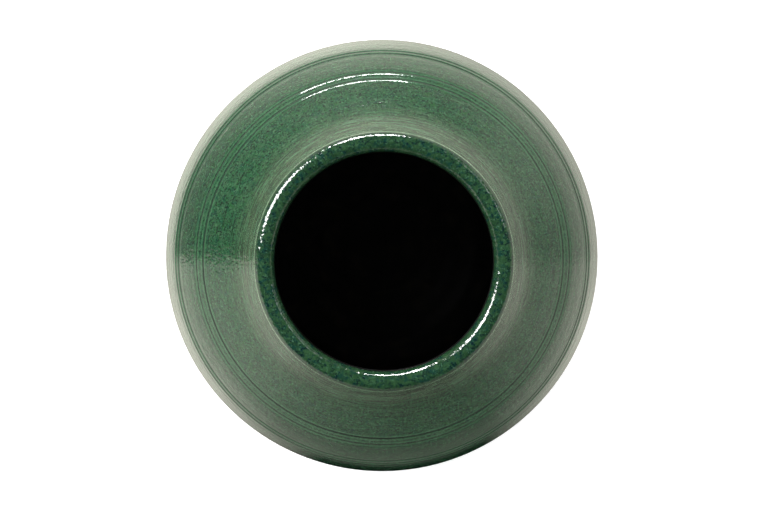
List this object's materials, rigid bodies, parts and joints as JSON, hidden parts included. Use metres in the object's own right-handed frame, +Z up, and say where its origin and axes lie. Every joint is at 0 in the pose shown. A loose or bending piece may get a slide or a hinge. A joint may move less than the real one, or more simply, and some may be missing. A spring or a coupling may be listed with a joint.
{
  "type": "stoneware vase",
  "caption": "Round-bellied stoneware vase with a wide mouth, short flared neck, rolled lip, paired incised lines and a low foot ring, glazed green outside and black inside.",
  "frame": {"origin": "centre of the foot ring's tread, on the surface that the vase stands on", "axes": "+Z up along the vase's axis; the vase is the same all round, so X and Y are free"},
  "size_m": [0.216, 0.216, 0.226],
  "materials": {
    "bare_clay": "unglazed toasted stoneware",
    "joining_slip": "dry slip",
    "green_glaze": "mottled grey-green gloss glaze",
    "lip_glaze": "deep green gloss glaze with blue-black specks",
    "black_glaze": "black satin glaze"
  },
  "bodies": {
    "root": {"foot_ring": "bare_clay", "foot_slip": "joining_slip", "bowl": "bare_clay", "bowl_slip": "joining_slip", "shoulder": "bare_clay", "shoulder_slip": "joining_slip", "collar": "bare_clay", "outer_glaze": "green_glaze", "lip_glaze": "lip_glaze", "liner_glaze": "black_glaze"}
  },
  "joints": []
}
